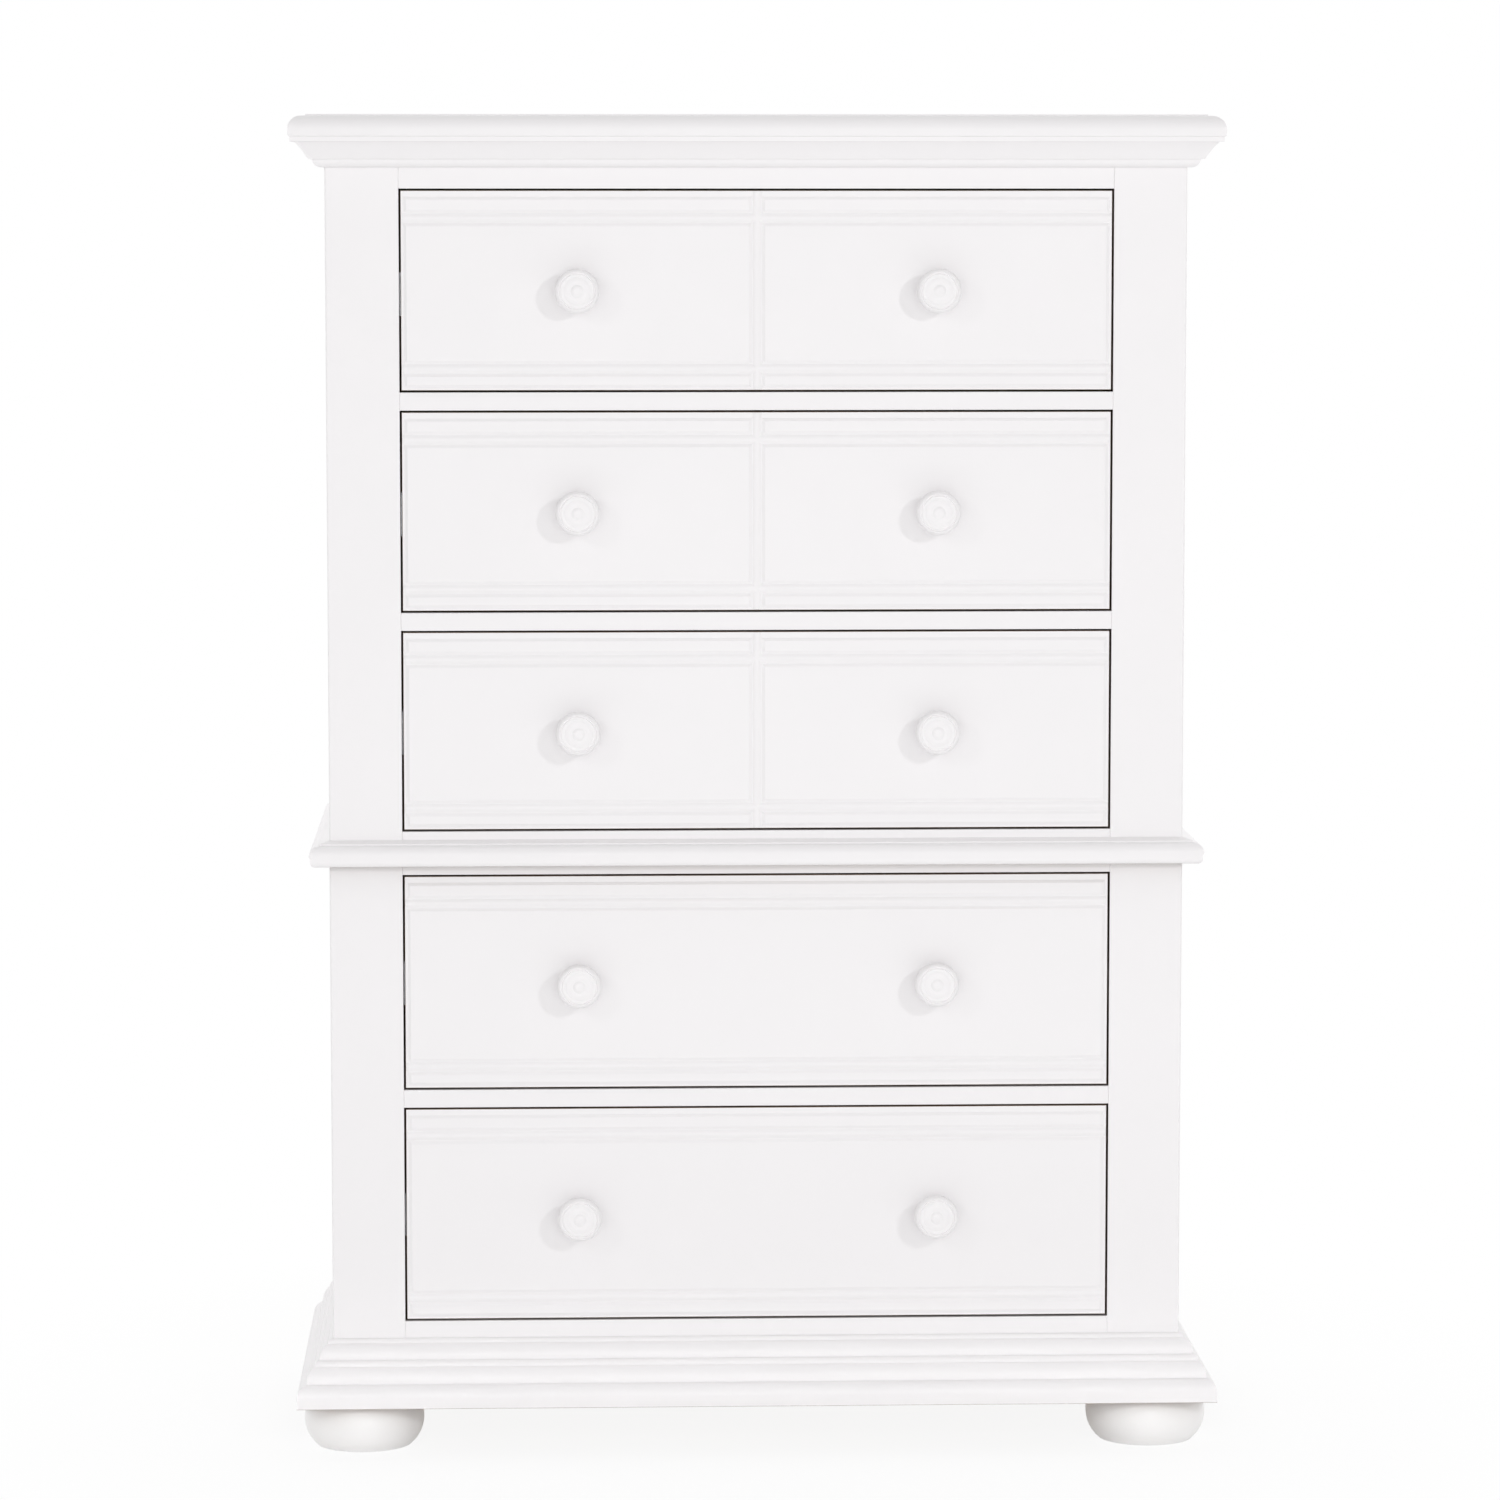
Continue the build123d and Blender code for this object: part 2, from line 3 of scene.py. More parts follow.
import bpy
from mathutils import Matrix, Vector


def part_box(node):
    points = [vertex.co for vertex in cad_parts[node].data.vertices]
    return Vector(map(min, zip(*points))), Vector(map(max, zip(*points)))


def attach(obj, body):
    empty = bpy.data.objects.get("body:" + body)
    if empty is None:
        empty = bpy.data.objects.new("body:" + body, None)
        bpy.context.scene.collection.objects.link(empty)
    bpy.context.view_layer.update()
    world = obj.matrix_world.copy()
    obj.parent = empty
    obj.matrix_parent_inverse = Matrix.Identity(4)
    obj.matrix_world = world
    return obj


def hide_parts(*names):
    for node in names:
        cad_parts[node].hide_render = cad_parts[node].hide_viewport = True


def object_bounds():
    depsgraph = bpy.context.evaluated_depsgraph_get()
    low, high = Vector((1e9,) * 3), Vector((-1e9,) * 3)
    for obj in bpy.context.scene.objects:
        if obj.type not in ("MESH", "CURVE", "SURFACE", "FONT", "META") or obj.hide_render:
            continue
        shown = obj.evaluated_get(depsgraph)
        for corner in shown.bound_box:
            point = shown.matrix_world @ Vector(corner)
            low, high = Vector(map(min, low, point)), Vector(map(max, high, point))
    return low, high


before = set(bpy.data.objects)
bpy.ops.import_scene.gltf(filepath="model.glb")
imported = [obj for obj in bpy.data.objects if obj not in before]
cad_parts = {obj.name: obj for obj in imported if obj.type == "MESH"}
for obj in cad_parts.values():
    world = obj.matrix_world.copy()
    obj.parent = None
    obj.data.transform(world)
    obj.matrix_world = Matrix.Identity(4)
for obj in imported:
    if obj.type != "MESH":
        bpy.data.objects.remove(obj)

cad_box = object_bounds()

# Face frame: two full-height stiles and six rails of solid hardwood, mortised and tenoned.
# Sprayed satin white after assembly. The spray reaches only a little way into the openings,
# so the edges inside the gaps and the back of the frame stay brown sealed wood.
face_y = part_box("left_stile")[0].y
side_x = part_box("right_stile")[1].x
stile_spray = 0.0015
rail_spray = 0.008
outer_skin = 0.0005


def start_material(name):
    """An empty material with its node tree, its shader and the place on the piece to read from."""
    material = bpy.data.materials.new(name)
    material.use_nodes = True
    tree = material.node_tree
    shader = tree.nodes["Principled BSDF"]
    place = tree.nodes.new("ShaderNodeTexCoord").outputs["Object"]
    return material, tree, shader, place


def number(tree, operation, first, second=0.0, clamp=False):
    """One sum in the tree; each value is a socket or a plain number."""
    node = tree.nodes.new("ShaderNodeMath")
    node.operation = operation
    node.use_clamp = clamp
    for socket, value in zip(node.inputs, (first, second)):
        if isinstance(value, (int, float)):
            socket.default_value = value
        else:
            tree.links.new(value, socket)
    return node.outputs[0]


def blend_colours(tree, factor, first, second):
    """Mixes two colours, each a socket or an RGB triple."""
    node = tree.nodes.new("ShaderNodeMix")
    node.data_type = "RGBA"
    tree.links.new(factor, node.inputs["Factor"])
    for socket, value in zip((node.inputs[6], node.inputs[7]), (first, second)):
        if isinstance(value, tuple):
            socket.default_value = (*value, 1)
        else:
            tree.links.new(value, socket)
    return node.outputs[2]


def cloud(tree, place, stretch, scale, detail):
    """Cloudy noise on the piece, squeezed by a factor along each axis."""
    mapping = tree.nodes.new("ShaderNodeMapping")
    mapping.inputs["Scale"].default_value = stretch
    tree.links.new(place, mapping.inputs["Vector"])
    noise = tree.nodes.new("ShaderNodeTexNoise")
    noise.inputs["Scale"].default_value = scale
    noise.inputs["Detail"].default_value = detail
    tree.links.new(mapping.outputs[0], noise.inputs["Vector"])
    return noise.outputs["Fac"]


def grain(tree, place, stretch):
    """Flat-sawn wood from 0 to 1: bands of yearly growth and, across them, fine dark fibres."""
    growth = cloud(tree, place, stretch, 5.0, 2.0)
    bands = number(tree, "SINE", number(tree, "MULTIPLY", growth, 70.0))
    bands = number(tree, "MULTIPLY", number(tree, "ADD", bands, 1.0), 0.25)
    fibre = cloud(tree, place, stretch, 160.0, 4.0)
    return number(tree, "ADD", bands, number(tree, "MULTIPLY", fibre, 0.5)), fibre


def graded(tree, value, low, high):
    """Spreads a 0 to 1 value over a range."""
    node = tree.nodes.new("ShaderNodeMapRange")
    node.inputs["To Min"].default_value = low
    node.inputs["To Max"].default_value = high
    tree.links.new(value, node.inputs["Value"])
    return node.outputs[0]


def relief(tree, shader, height, strength, depth):
    """Small bumps on the surface."""
    bump = tree.nodes.new("ShaderNodeBump")
    bump.inputs["Strength"].default_value = strength
    bump.inputs["Distance"].default_value = depth
    tree.links.new(height, bump.inputs["Height"])
    tree.links.new(bump.outputs[0], shader.inputs["Normal"])


paint_white = (0.885, 0.868, 0.876)
paint_shade = (0.866, 0.850, 0.857)
sealed_light = (0.235, 0.150, 0.088)
sealed_dark = (0.125, 0.074, 0.042)
ragged_edge = 0.002
faded_edge = 0.003


def behind(tree, place, depth, within):
    """Marks what lies behind a depth and within a distance of the middle, with a slightly ragged edge."""
    split = tree.nodes.new("ShaderNodeSeparateXYZ")
    tree.links.new(place, split.inputs[0])
    ragged = number(tree, "MULTIPLY", cloud(tree, place, (1, 1, 1), 90.0, 2.0), ragged_edge)
    reach = number(tree, "SUBTRACT", split.outputs["Y"], depth - ragged_edge / 2)
    reach = number(tree, "SUBTRACT", reach, ragged)
    across = number(tree, "ABSOLUTE", split.outputs["X"])
    inside = number(tree, "LESS_THAN", across, within)
    return number(tree, "MULTIPLY", number(tree, "DIVIDE", reach, faded_edge, clamp=True), inside)


def satin_paint(name, stretch=None, bare=None, limits=(), coats=(paint_white, paint_shade)):
    """Sprayed white paint. Where bare marks the piece within its limits, the paint stops at sealed wood."""
    material, tree, shader, place = start_material(name)
    colour = blend_colours(tree, cloud(tree, place, (1, 1, 1), 3.0, 3.0), *coats)
    if bare:
        wood = blend_colours(tree, grain(tree, place, stretch)[0], sealed_light, sealed_dark)
        colour = blend_colours(tree, bare(tree, place, *limits), colour, wood)
    tree.links.new(colour, shader.inputs["Base Color"])
    sheen = graded(tree, cloud(tree, place, (1, 1, 1), 25.0, 3.0), 0.36, 0.48)
    tree.links.new(sheen, shader.inputs["Roughness"])
    relief(tree, shader, cloud(tree, place, (1, 1, 1), 600.0, 2.0), 0.06, 0.0002)
    return material


def finish(material, *names):
    """Puts a finish on CAD nodes."""
    for name in names:
        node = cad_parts[name]
        node.data.materials.clear()
        node.data.materials.append(material)


along_x = (0.05, 1, 1)
along_z = (1, 1, 0.05)
stile_paint = satin_paint("stile_paint", along_z, behind, (face_y + stile_spray, side_x - outer_skin))
finish(stile_paint, "left_stile", "right_stile")
rail_paint = satin_paint("rail_paint", along_x, behind, (face_y + rail_spray, side_x))
finish(
    rail_paint,
    "top_rail",
    "upper_drawer_rail_1",
    "upper_drawer_rail_2",
    "waist_rail",
    "lower_drawer_rail",
    "bottom_rail",
)

# Side panels: boards glued up to full depth, tongued into the stiles and rebated for the back.
# White outside and on the rear edges, brown sealed wood inside the case.
panel_inside_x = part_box("back_panel")[1].x
side_paint = satin_paint("side_paint", along_z, behind, (face_y, panel_inside_x))
finish(side_paint, "left_side_panel", "right_side_panel")


# Slide posts: four square pale posts glued inside the case, behind the stiles and near the back.
# Planed and clear sealed. The drawer slides are screwed to them.
def timber(name, stretch, light, dark, roughness):
    """Clear-sealed wood with its grain along the axis that has the smallest factor."""
    material, tree, shader, place = start_material(name)
    figure, fibre = grain(tree, place, stretch)
    tree.links.new(blend_colours(tree, figure, light, dark), shader.inputs["Base Color"])
    tree.links.new(graded(tree, fibre, roughness - 0.06, roughness + 0.08), shader.inputs["Roughness"])
    relief(tree, shader, fibre, 0.12, 0.0003)
    return material


pale_light = (0.640, 0.465, 0.290)
pale_dark = (0.440, 0.285, 0.155)
post_wood = timber("post_wood", along_z, pale_light, pale_dark, 0.55)
finish(post_wood, "slide_posts")

# Bottom panel: a sheet of birch-faced plywood in rebates between the side panels, sanded and left bare.
# It shows the broad wavy figure of peeled veneer.
veneer_light = (0.700, 0.545, 0.370)
veneer_dark = (0.560, 0.400, 0.250)
floor_ply = timber("floor_ply", (0.10, 1, 1), veneer_light, veneer_dark, 0.60)
finish(floor_ply, "bottom_panel")

# Back panel: thinner plywood of the same kind, set in the rebates of the side panels.
# Zinc-plated pan-head screws hold it along both sides and into the edge of the bottom panel.
back_ply = timber("back_ply", (1, 1, 0.10), veneer_light, veneer_dark, 0.60)
finish(back_ply, "back_panel")
along_y = (1, 0.05, 1)


def zinc_plate(name, light, dark):
    """Zinc plating: faint crystals in grey metal, with a fine drawn roughness."""
    material, tree, shader, place = start_material(name)
    crystals = tree.nodes.new("ShaderNodeTexVoronoi")
    crystals.inputs["Scale"].default_value = 220.0
    tree.links.new(place, crystals.inputs["Vector"])
    spangle = tree.nodes.new("ShaderNodeSeparateColor")
    tree.links.new(crystals.outputs["Color"], spangle.inputs[0])
    tree.links.new(blend_colours(tree, spangle.outputs[0], light, dark), shader.inputs["Base Color"])
    shader.inputs["Metallic"].default_value = 1.0
    drawn = cloud(tree, place, along_y, 300.0, 3.0)
    tree.links.new(graded(tree, drawn, 0.26, 0.44), shader.inputs["Roughness"])
    relief(tree, shader, drawn, 0.05, 0.0001)
    return material


fastener_zinc = zinc_plate("fastener_zinc", (0.60, 0.59, 0.56), (0.50, 0.49, 0.47))


def turned(name, stations, around):
    """A turned piece along +Z: a disc drawn out and resized through (distance, radius) stations in mm."""
    distance, radius = stations[0]
    bpy.ops.object.select_all(action="DESELECT")
    bpy.ops.mesh.primitive_circle_add(
        vertices=around, radius=radius / 1000, fill_type="NGON", location=(0, 0, distance / 1000)
    )
    piece = bpy.context.object
    piece.name = name
    bpy.ops.object.mode_set(mode="EDIT")
    bpy.ops.mesh.select_all(action="SELECT")
    for next_distance, next_radius in stations[1:]:
        step = (next_distance - distance) / 1000
        bpy.ops.mesh.extrude_region_move(TRANSFORM_OT_translate={"value": (0, 0, step)})
        scale = next_radius / radius
        bpy.ops.transform.resize(value=(scale, scale, 1), center_override=(0, 0, next_distance / 1000))
        distance, radius = next_distance, next_radius
    bpy.ops.mesh.select_all(action="SELECT")
    bpy.ops.mesh.normals_make_consistent(inside=False)
    bpy.ops.object.mode_set(mode="OBJECT")
    bpy.ops.object.transform_apply(location=True, rotation=True, scale=True)
    return piece


def pan_screw(name, shank):
    """A pan-head screw along +Z from its tip; the head sits on a seat at the shank's length, in mm."""
    shank_radius = 1.9
    head_radius = 4.5
    head_top = shank + 2.6
    recess_length, recess_width, recess_depth = 4.6, 1.0, 1.4
    screw = turned(
        name,
        [
            (0, 0.6),
            (2.0, shank_radius),
            (shank, shank_radius),
            (shank, head_radius),
            (shank + 1.3, head_radius),
            (shank + 2.1, 3.9),
            (head_top, 2.6),
        ],
        32,
    )
    crown = (0, 0, head_top / 1000)
    bpy.ops.object.select_all(action="DESELECT")
    bpy.ops.mesh.primitive_cube_add(size=0.001, location=crown)
    recess = bpy.context.object
    bpy.ops.object.mode_set(mode="EDIT")
    bpy.ops.mesh.select_all(action="SELECT")
    bpy.ops.transform.resize(
        value=(recess_length, recess_width, 2 * recess_depth), center_override=crown
    )
    bpy.ops.mesh.duplicate()
    bpy.ops.transform.rotate(value=math.pi / 2, orient_axis="Z", center_override=crown)
    bpy.ops.object.mode_set(mode="OBJECT")
    cut = screw.modifiers.new("recess", "BOOLEAN")
    cut.operation = "DIFFERENCE"
    cut.solver = "EXACT"
    cut.use_self = True
    cut.object = recess
    bpy.ops.object.select_all(action="DESELECT")
    screw.select_set(True)
    bpy.context.view_layer.objects.active = screw
    bpy.ops.object.modifier_apply(modifier="recess")
    bpy.data.objects.remove(recess)
    bpy.ops.object.shade_smooth_by_angle(angle=math.radians(35))
    screw.data.materials.append(fastener_zinc)
    return screw


def set_out(pattern, name, places):
    """Copies a pattern to each (point, turn) and joins the copies, with their places in one mesh."""
    bpy.ops.object.select_all(action="DESELECT")
    for point, turn in places:
        copy = pattern.copy()
        copy.data = pattern.data.copy()
        copy.location = point
        copy.rotation_euler = turn
        bpy.context.scene.collection.objects.link(copy)
        copy.select_set(True)
        bpy.context.view_layer.objects.active = copy
    bpy.ops.object.join()
    bpy.ops.object.transform_apply(location=True, rotation=True, scale=True)
    piece = bpy.context.object
    piece.name = name
    return piece


inward = (-math.pi / 2, 0, 0)
back_screw_length = 16.0
back_screw = pan_screw("back_screw", back_screw_length)
low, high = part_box("back_panel")
tip_y = high.y - back_screw_length / 1000
ledge_x = high.x - 0.0055
bottom_panel_edge_z = low.z + 0.009
tips = []
for share in (0.03, 0.16, 0.29, 0.42, 0.58, 0.71, 0.84, 0.97):
    z = low.z + share * (high.z - low.z)
    tips += [((-ledge_x, tip_y, z), inward), ((ledge_x, tip_y, z), inward)]
for x in (-0.32, -0.16, 0.0, 0.16, 0.32):
    tips.append(((x, tip_y, bottom_panel_edge_z), inward))
back_screws = set_out(back_screw, "back_screws", tips)
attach(back_screws, "case")
bpy.data.objects.remove(back_screw)

# Top panel: solid wood with a stepped round nose run along the front and both ends.
# Glued to the case and sprayed with it.
whole_paint = satin_paint("whole_paint")
finish(whole_paint, "top_panel")

# Crown, waist and base mouldings: run from solid wood, mitred at the front corners, glued and pinned.
# The pin holes are filled and the mouldings are sprayed white. The spray doesn't reach the undersides
# of the waist and the base, which stay brown sealed wood.
finish(whole_paint, "crown_moulding")


def below(tree, place, height):
    """Marks what lies below a height."""
    split = tree.nodes.new("ShaderNodeSeparateXYZ")
    tree.links.new(place, split.inputs[0])
    return number(tree, "LESS_THAN", split.outputs["Z"], height)


for moulding in ("waist_moulding", "base_moulding"):
    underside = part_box(moulding)[0].z + 0.0003
    finish(satin_paint(f"{moulding}_paint", along_x, below, (underside,)), moulding)

# Bun feet: turned from solid blocks and painted a lighter white than the case, painted light for the
# floor's bounce.
# A zinc-plated hanger bolt joins each one to the bottom panel and the post above it.
foot_painted_light = satin_paint("foot_painted_light", coats=((0.950, 0.940, 0.936), (0.935, 0.925, 0.921)))
finish(foot_painted_light, "bun_feet")
finish(fastener_zinc, "foot_bolts")

# Drawer slides: three nested channels on each side of a drawer, roll-formed from zinc-plated sheet.
# The outer one is screwed to the posts, the middle one runs between, the inner one is on the drawer.
drawers = ("drawer_1", "drawer_2", "drawer_3", "drawer_4", "drawer_5")
slide_zinc = zinc_plate("slide_zinc", (0.66, 0.67, 0.69), (0.56, 0.57, 0.60))
finish(slide_zinc, "outer_slides")
for drawer in drawers:
    finish(slide_zinc, drawer.replace("drawer", "carriage"), f"{drawer}_inner_slides")

# Ball cages: thin steel strips that hold rows of steel balls in the races between the slide channels.
# One pair runs inside each outer channel and one pair inside each carriage.
cage_width, cage_length, cage_sheet = 4.4, 150, 0.6
balls = 10
ball_pitch = 0.015
first_ball_y = -ball_pitch * (balls - 1) / 2
bpy.ops.object.select_all(action="DESELECT")
bpy.ops.mesh.primitive_cube_add(size=0.001, location=(0, 0, 0))
ball_cage = bpy.context.object
ball_cage.name = "ball_cage"
bpy.ops.object.mode_set(mode="EDIT")
bpy.ops.mesh.select_all(action="SELECT")
bpy.ops.transform.resize(value=(cage_width, cage_length, cage_sheet), center_override=(0, 0, 0))
bpy.ops.mesh.bevel(offset=0.0002, segments=2, affect="EDGES")
for step in range(balls):
    bpy.ops.mesh.primitive_uv_sphere_add(
        segments=14, ring_count=8, radius=0.0016, location=(0, first_ball_y + ball_pitch * step, 0)
    )
bpy.ops.object.mode_set(mode="OBJECT")
bpy.ops.object.shade_smooth_by_angle(angle=math.radians(40))
ball_cage.data.materials.append(slide_zinc)
race = 0.0019
cage_from_front = 0.09
outer_race_in = 0.0034
inner_race_in = 0.0049
case_cages = []
for drawer in drawers:
    carriage = drawer.replace("drawer", "carriage")
    low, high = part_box(carriage)
    inner_low, inner_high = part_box(f"{drawer}_inner_slides")
    cage_y = low.y + cage_from_front
    outer_x = high.x - outer_race_in
    inner_x = high.x - inner_race_in
    outer_races = (low.z - race, high.z + race)
    inner_races = (inner_low.z - race, inner_high.z + race)
    places = []
    for side in (-1, 1):
        case_cages += [((side * outer_x, cage_y, z), (0, 0, 0)) for z in outer_races]
        places += [((side * inner_x, cage_y, z), (0, 0, 0)) for z in inner_races]
    carriage_cages = set_out(ball_cage, f"{carriage}_ball_cages", places)
    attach(carriage_cages, carriage)
outer_cages = set_out(ball_cage, "outer_ball_cages", case_cages)
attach(outer_cages, "case")
bpy.data.objects.remove(ball_cage)

# Drawer fronts: solid boards with raised fields and round beads routed into the face.
# White on the face and just over the eased arrises, brown sealed wood on the edges and behind.
edge_skin = 0.0004
white_arris = 0.0009
faded_arris = 0.0006
routed_depth = 0.0045


def past_arris(tree, place, low, high):
    """Marks the edges of a board from a little behind its face, and its back."""
    split = tree.nodes.new("ShaderNodeSeparateXYZ")
    tree.links.new(place, split.inputs[0])
    aside = number(tree, "ABSOLUTE", split.outputs["X"])
    aside = number(tree, "GREATER_THAN", aside, high.x - edge_skin)
    upright = number(tree, "ABSOLUTE", number(tree, "SUBTRACT", split.outputs["Z"], (low.z + high.z) / 2))
    upright = number(tree, "GREATER_THAN", upright, (high.z - low.z) / 2 - edge_skin)
    edge = number(tree, "MAXIMUM", aside, upright)
    rolled = number(tree, "SUBTRACT", split.outputs["Y"], low.y + white_arris)
    rolled = number(tree, "DIVIDE", rolled, faded_arris, clamp=True)
    back = number(tree, "GREATER_THAN", split.outputs["Y"], low.y + routed_depth)
    return number(tree, "MAXIMUM", number(tree, "MULTIPLY", edge, rolled), back)


for drawer in drawers:
    front_paint = satin_paint(f"{drawer}_front_paint", along_x, past_arris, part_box(f"{drawer}_front"))
    finish(front_paint, f"{drawer}_front")

# Drawer boxes: pale hardwood sides and back, dovetailed, with a plywood bottom in grooves.
# Clear sealed; the grain of each piece runs along its length.
side_wood = timber("side_wood", along_y, pale_light, pale_dark, 0.50)
rear_wood = timber("rear_wood", along_x, pale_light, pale_dark, 0.50)
for drawer in drawers:
    finish(side_wood, f"{drawer}_sides")
    finish(rear_wood, f"{drawer}_back")
    finish(floor_ply, f"{drawer}_bottom")

# Knobs: turned from solid wood, with a foot, a waisted neck, a round rim and rings cut in the face.
# Painted white, two on each drawer.
foot_and_neck = [
    (0.0, 13.0),
    (3.4, 13.0),
    (4.0, 12.6),
    (6.0, 10.9),
    (9.0, 9.7),
    (12.5, 9.4),
    (16.0, 9.8),
    (19.5, 11.1),
    (22.5, 13.2),
    (24.6, 15.7),
]
head_and_rim = [
    (25.6, 18.2),
    (27.3, 20.6),
    (29.6, 22.2),
    (32.4, 23.0),
    (35.2, 22.9),
    (37.4, 22.2),
    (39.0, 21.2),
    (39.9, 20.2),
    (40.1, 19.5),
]
face_rings = [
    (39.6, 18.9),
    (39.1, 18.3),
    (39.5, 17.7),
    (40.1, 17.1),
    (40.3, 14.6),
    (40.1, 14.1),
    (40.35, 13.5),
    (40.6, 10.5),
    (40.75, 7.6),
    (40.6, 7.0),
    (40.7, 6.3),
    (41.3, 5.6),
    (41.8, 4.0),
    (42.0, 1.8),
]
outward = (math.pi / 2, 0, 0)
knob_pattern = turned("knob_pattern", foot_and_neck + head_and_rim + face_rings, 64)
bpy.ops.object.shade_smooth_by_angle(angle=math.radians(40))
knob_pattern.data.materials.append(whole_paint)
for drawer in drawers:
    low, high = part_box(f"{drawer}_knobs")
    radius = (high.z - low.z) / 2
    seats = [((x, face_y, low.z + radius), outward) for x in (low.x + radius, high.x - radius)]
    knobs = set_out(knob_pattern, f"{drawer}_turned_knobs", seats)
    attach(knobs, drawer)
    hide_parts(f"{drawer}_knobs")
bpy.data.objects.remove(knob_pattern)

# Knob screws: zinc-plated machine screws through the front into each knob, with a pan head inside.
# The head has a cross recess for the driver.
knob_screw = pan_screw("knob_screw", 36.0)
for drawer in drawers:
    low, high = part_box(f"{drawer}_knob_screws")
    radius = (high.z - low.z) / 2
    tips = [((x, low.y, low.z + radius), inward) for x in (low.x + radius, high.x - radius)]
    screws = set_out(knob_screw, f"{drawer}_pan_screws", tips)
    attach(screws, drawer)
    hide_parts(f"{drawer}_knob_screws")
bpy.data.objects.remove(knob_screw)

# Slide screws: shorter pan heads, three through each inner channel into the drawer side.
# They sit inside the channel, clear of the one that runs round it.
slide_sheet = 0.0012
slide_screw_length = 11.0
slide_screw = pan_screw("slide_screw", slide_screw_length)
for drawer in drawers:
    low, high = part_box(f"{drawer}_inner_slides")
    web_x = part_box(f"{drawer}_sides")[1].x + slide_sheet
    tip_x = web_x - slide_screw_length / 1000
    z = (low.z + high.z) / 2
    tips = []
    for share in (0.07, 0.5, 0.93):
        y = low.y + share * (high.y - low.y)
        tips += [((tip_x, y, z), (0, math.pi / 2, 0)), ((-tip_x, y, z), (0, -math.pi / 2, 0))]
    screws = set_out(slide_screw, f"{drawer}_slide_screws", tips)
    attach(screws, drawer)
bpy.data.objects.remove(slide_screw)

# Studio: a white floor and backdrop that show plain white, with a faint shadow kept near the feet.
# Soft light fills the room. A broad panel lights the front, two low strips its lower end and two small
# lamps cast the shadows of the knobs. Three more panels light the sides and the back.
scene = bpy.context.scene
scene.view_settings.view_transform = "Standard"
shadow_near = 0.5
shadow_far = 1.0
white_share_near = 0.9
bpy.ops.object.select_all(action="DESELECT")
bpy.ops.mesh.primitive_plane_add(size=30, location=(0, 0, 0))
floor = bpy.context.object
floor.name = "studio_floor"
floor_white, floor_tree, floor_shader, floor_place = start_material("studio_floor")
floor_shader.inputs["Base Color"].default_value = (0.95, 0.95, 0.95, 1)
floor_shader.inputs["Roughness"].default_value = 0.9
glow = floor_tree.nodes.new("ShaderNodeEmission")
glow.inputs["Strength"].default_value = 1.0
ray = floor_tree.nodes.new("ShaderNodeLightPath")
seen = number(floor_tree, "MAXIMUM", ray.outputs["Is Camera Ray"], ray.outputs["Is Glossy Ray"])
seen = number(floor_tree, "MAXIMUM", seen, ray.outputs["Is Transmission Ray"])
reach = floor_tree.nodes.new("ShaderNodeVectorMath")
reach.operation = "LENGTH"
floor_tree.links.new(floor_place, reach.inputs[0])
clear = floor_tree.nodes.new("ShaderNodeMapRange")
clear.inputs["From Min"].default_value = shadow_near
clear.inputs["From Max"].default_value = shadow_far
clear.inputs["To Min"].default_value = white_share_near
floor_tree.links.new(reach.outputs["Value"], clear.inputs["Value"])
seen = number(floor_tree, "MULTIPLY", seen, clear.outputs[0])
mixer = floor_tree.nodes.new("ShaderNodeMixShader")
floor_tree.links.new(seen, mixer.inputs[0])
floor_tree.links.new(floor_shader.outputs[0], mixer.inputs[1])
floor_tree.links.new(glow.outputs[0], mixer.inputs[2])
floor_tree.links.new(mixer.outputs[0], floor_tree.nodes["Material Output"].inputs["Surface"])
floor.data.materials.append(floor_white)

world = bpy.data.worlds.new("studio")
scene.world = world
world.use_nodes = True
world_tree = world.node_tree
ambient = world_tree.nodes["Background"]
ambient.inputs["Color"].default_value = (1, 1, 1, 1)
ambient.inputs["Strength"].default_value = 0.575
backdrop = world_tree.nodes.new("ShaderNodeBackground")
backdrop.inputs["Color"].default_value = (1, 1, 1, 1)
backdrop.inputs["Strength"].default_value = 1.0
sky_ray = world_tree.nodes.new("ShaderNodeLightPath")
sky_seen = number(world_tree, "MAXIMUM", sky_ray.outputs["Is Camera Ray"], sky_ray.outputs["Is Glossy Ray"])
sky_seen = number(world_tree, "MAXIMUM", sky_seen, sky_ray.outputs["Is Transmission Ray"])
sky_mixer = world_tree.nodes.new("ShaderNodeMixShader")
world_tree.links.new(sky_seen, sky_mixer.inputs[0])
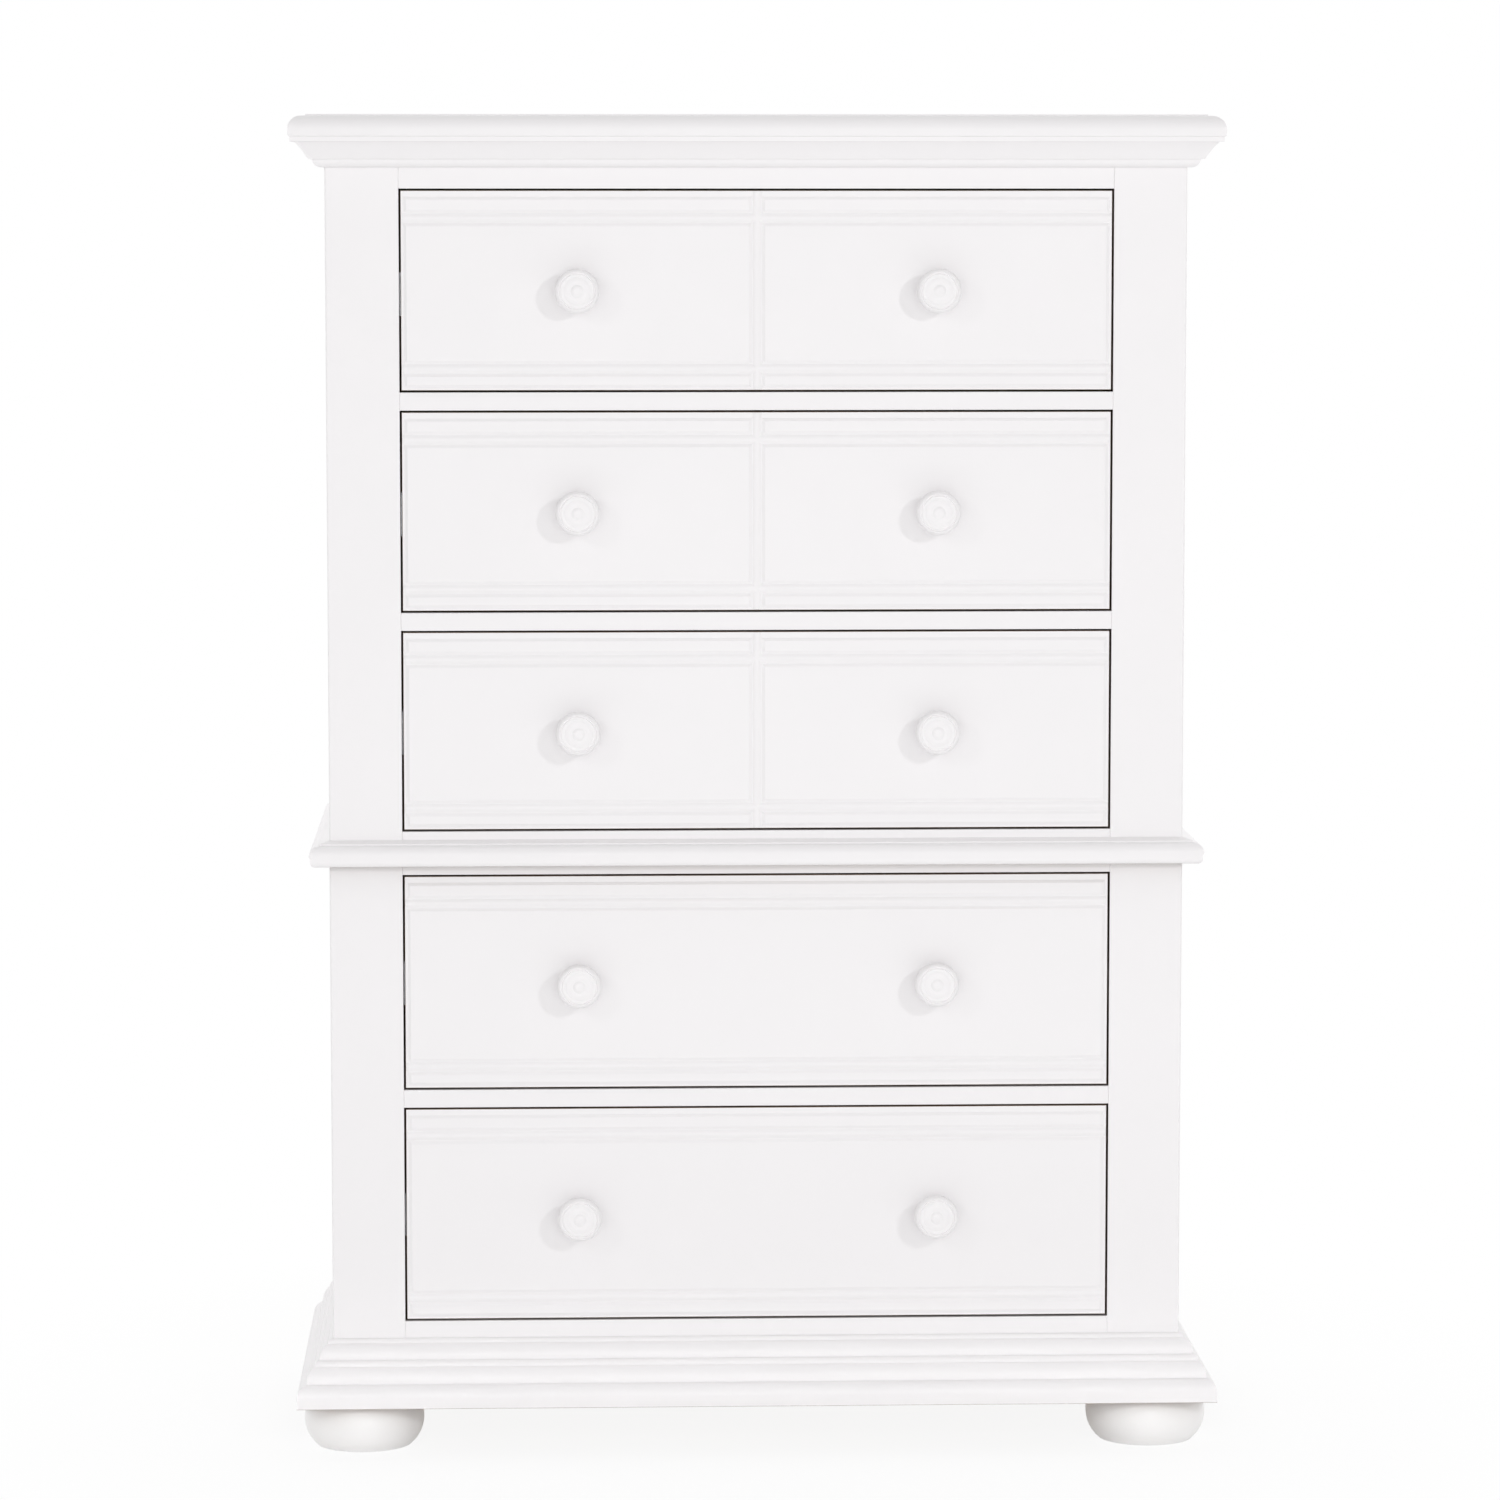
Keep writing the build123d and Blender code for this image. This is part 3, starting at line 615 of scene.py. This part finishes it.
world_tree.links.new(ambient.outputs[0], sky_mixer.inputs[1])
world_tree.links.new(backdrop.outputs[0], sky_mixer.inputs[2])
world_tree.links.new(sky_mixer.outputs[0], world_tree.nodes["World Output"].inputs["Surface"])


def softbox(name, place, aim, width, height, watts, mirrored=True, spread=180):
    """A rectangular studio light, turned to face a point, that the paint may mirror or not."""
    light = bpy.data.lights.new(name, "AREA")
    light.shape = "RECTANGLE"
    light.size = width
    light.size_y = height
    light.energy = watts
    light.spread = math.radians(spread)
    lamp = bpy.data.objects.new(name, light)
    lamp.location = place
    lamp.rotation_euler = (lamp.location - aim).to_track_quat("Z", "Y").to_euler()
    lamp.visible_camera = False
    lamp.visible_glossy = mirrored
    scene.collection.objects.link(lamp)


middle = (cad_box[0] + cad_box[1]) / 2
lower_drawers = middle * 0.4
base_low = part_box("base_moulding")[0]
base_edge = Vector((0, base_low.y, base_low.z))
softbox("front_light", (-0.2, -6.0, 1.3), middle, 3.5, 2.2, 54)
softbox("low_light", (0, -1.7, 0.15), lower_drawers, 2.4, 0.2, 1.2)
softbox("base_light", (0, -1.5, 0.30), base_edge, 1.6, 0.08, 0.055, spread=14)
softbox("key_light", (2.0, -4.3, 2.15), middle, 0.28, 0.28, 27, mirrored=False)
softbox("second_light", (-2.75, -4.3, 2.45), middle, 0.45, 0.45, 12, mirrored=False)
softbox("right_light", (3.0, 2.0, 2.6), middle, 4.0, 4.0, 40)
softbox("left_light", (-3.0, 2.0, 2.6), middle, 4.0, 4.0, 40)
softbox("back_light", (0, 4.5, 2.6), middle, 5.0, 3.0, 30)

# Camera: a long lens nearly level with the top drawer and a little left of the middle.
# It is turned slightly to the right and down.
camera_data = bpy.data.cameras.new("camera")
camera_data.lens = 132.9
camera_data.sensor_width = 36.0
camera = bpy.data.objects.new("camera", camera_data)
camera.location = (-0.224, face_y - 5.742, 1.316)
camera.rotation_euler = (math.radians(90 - 5.74), 0, math.radians(-2.16))
scene.collection.objects.link(camera)
scene.camera = camera
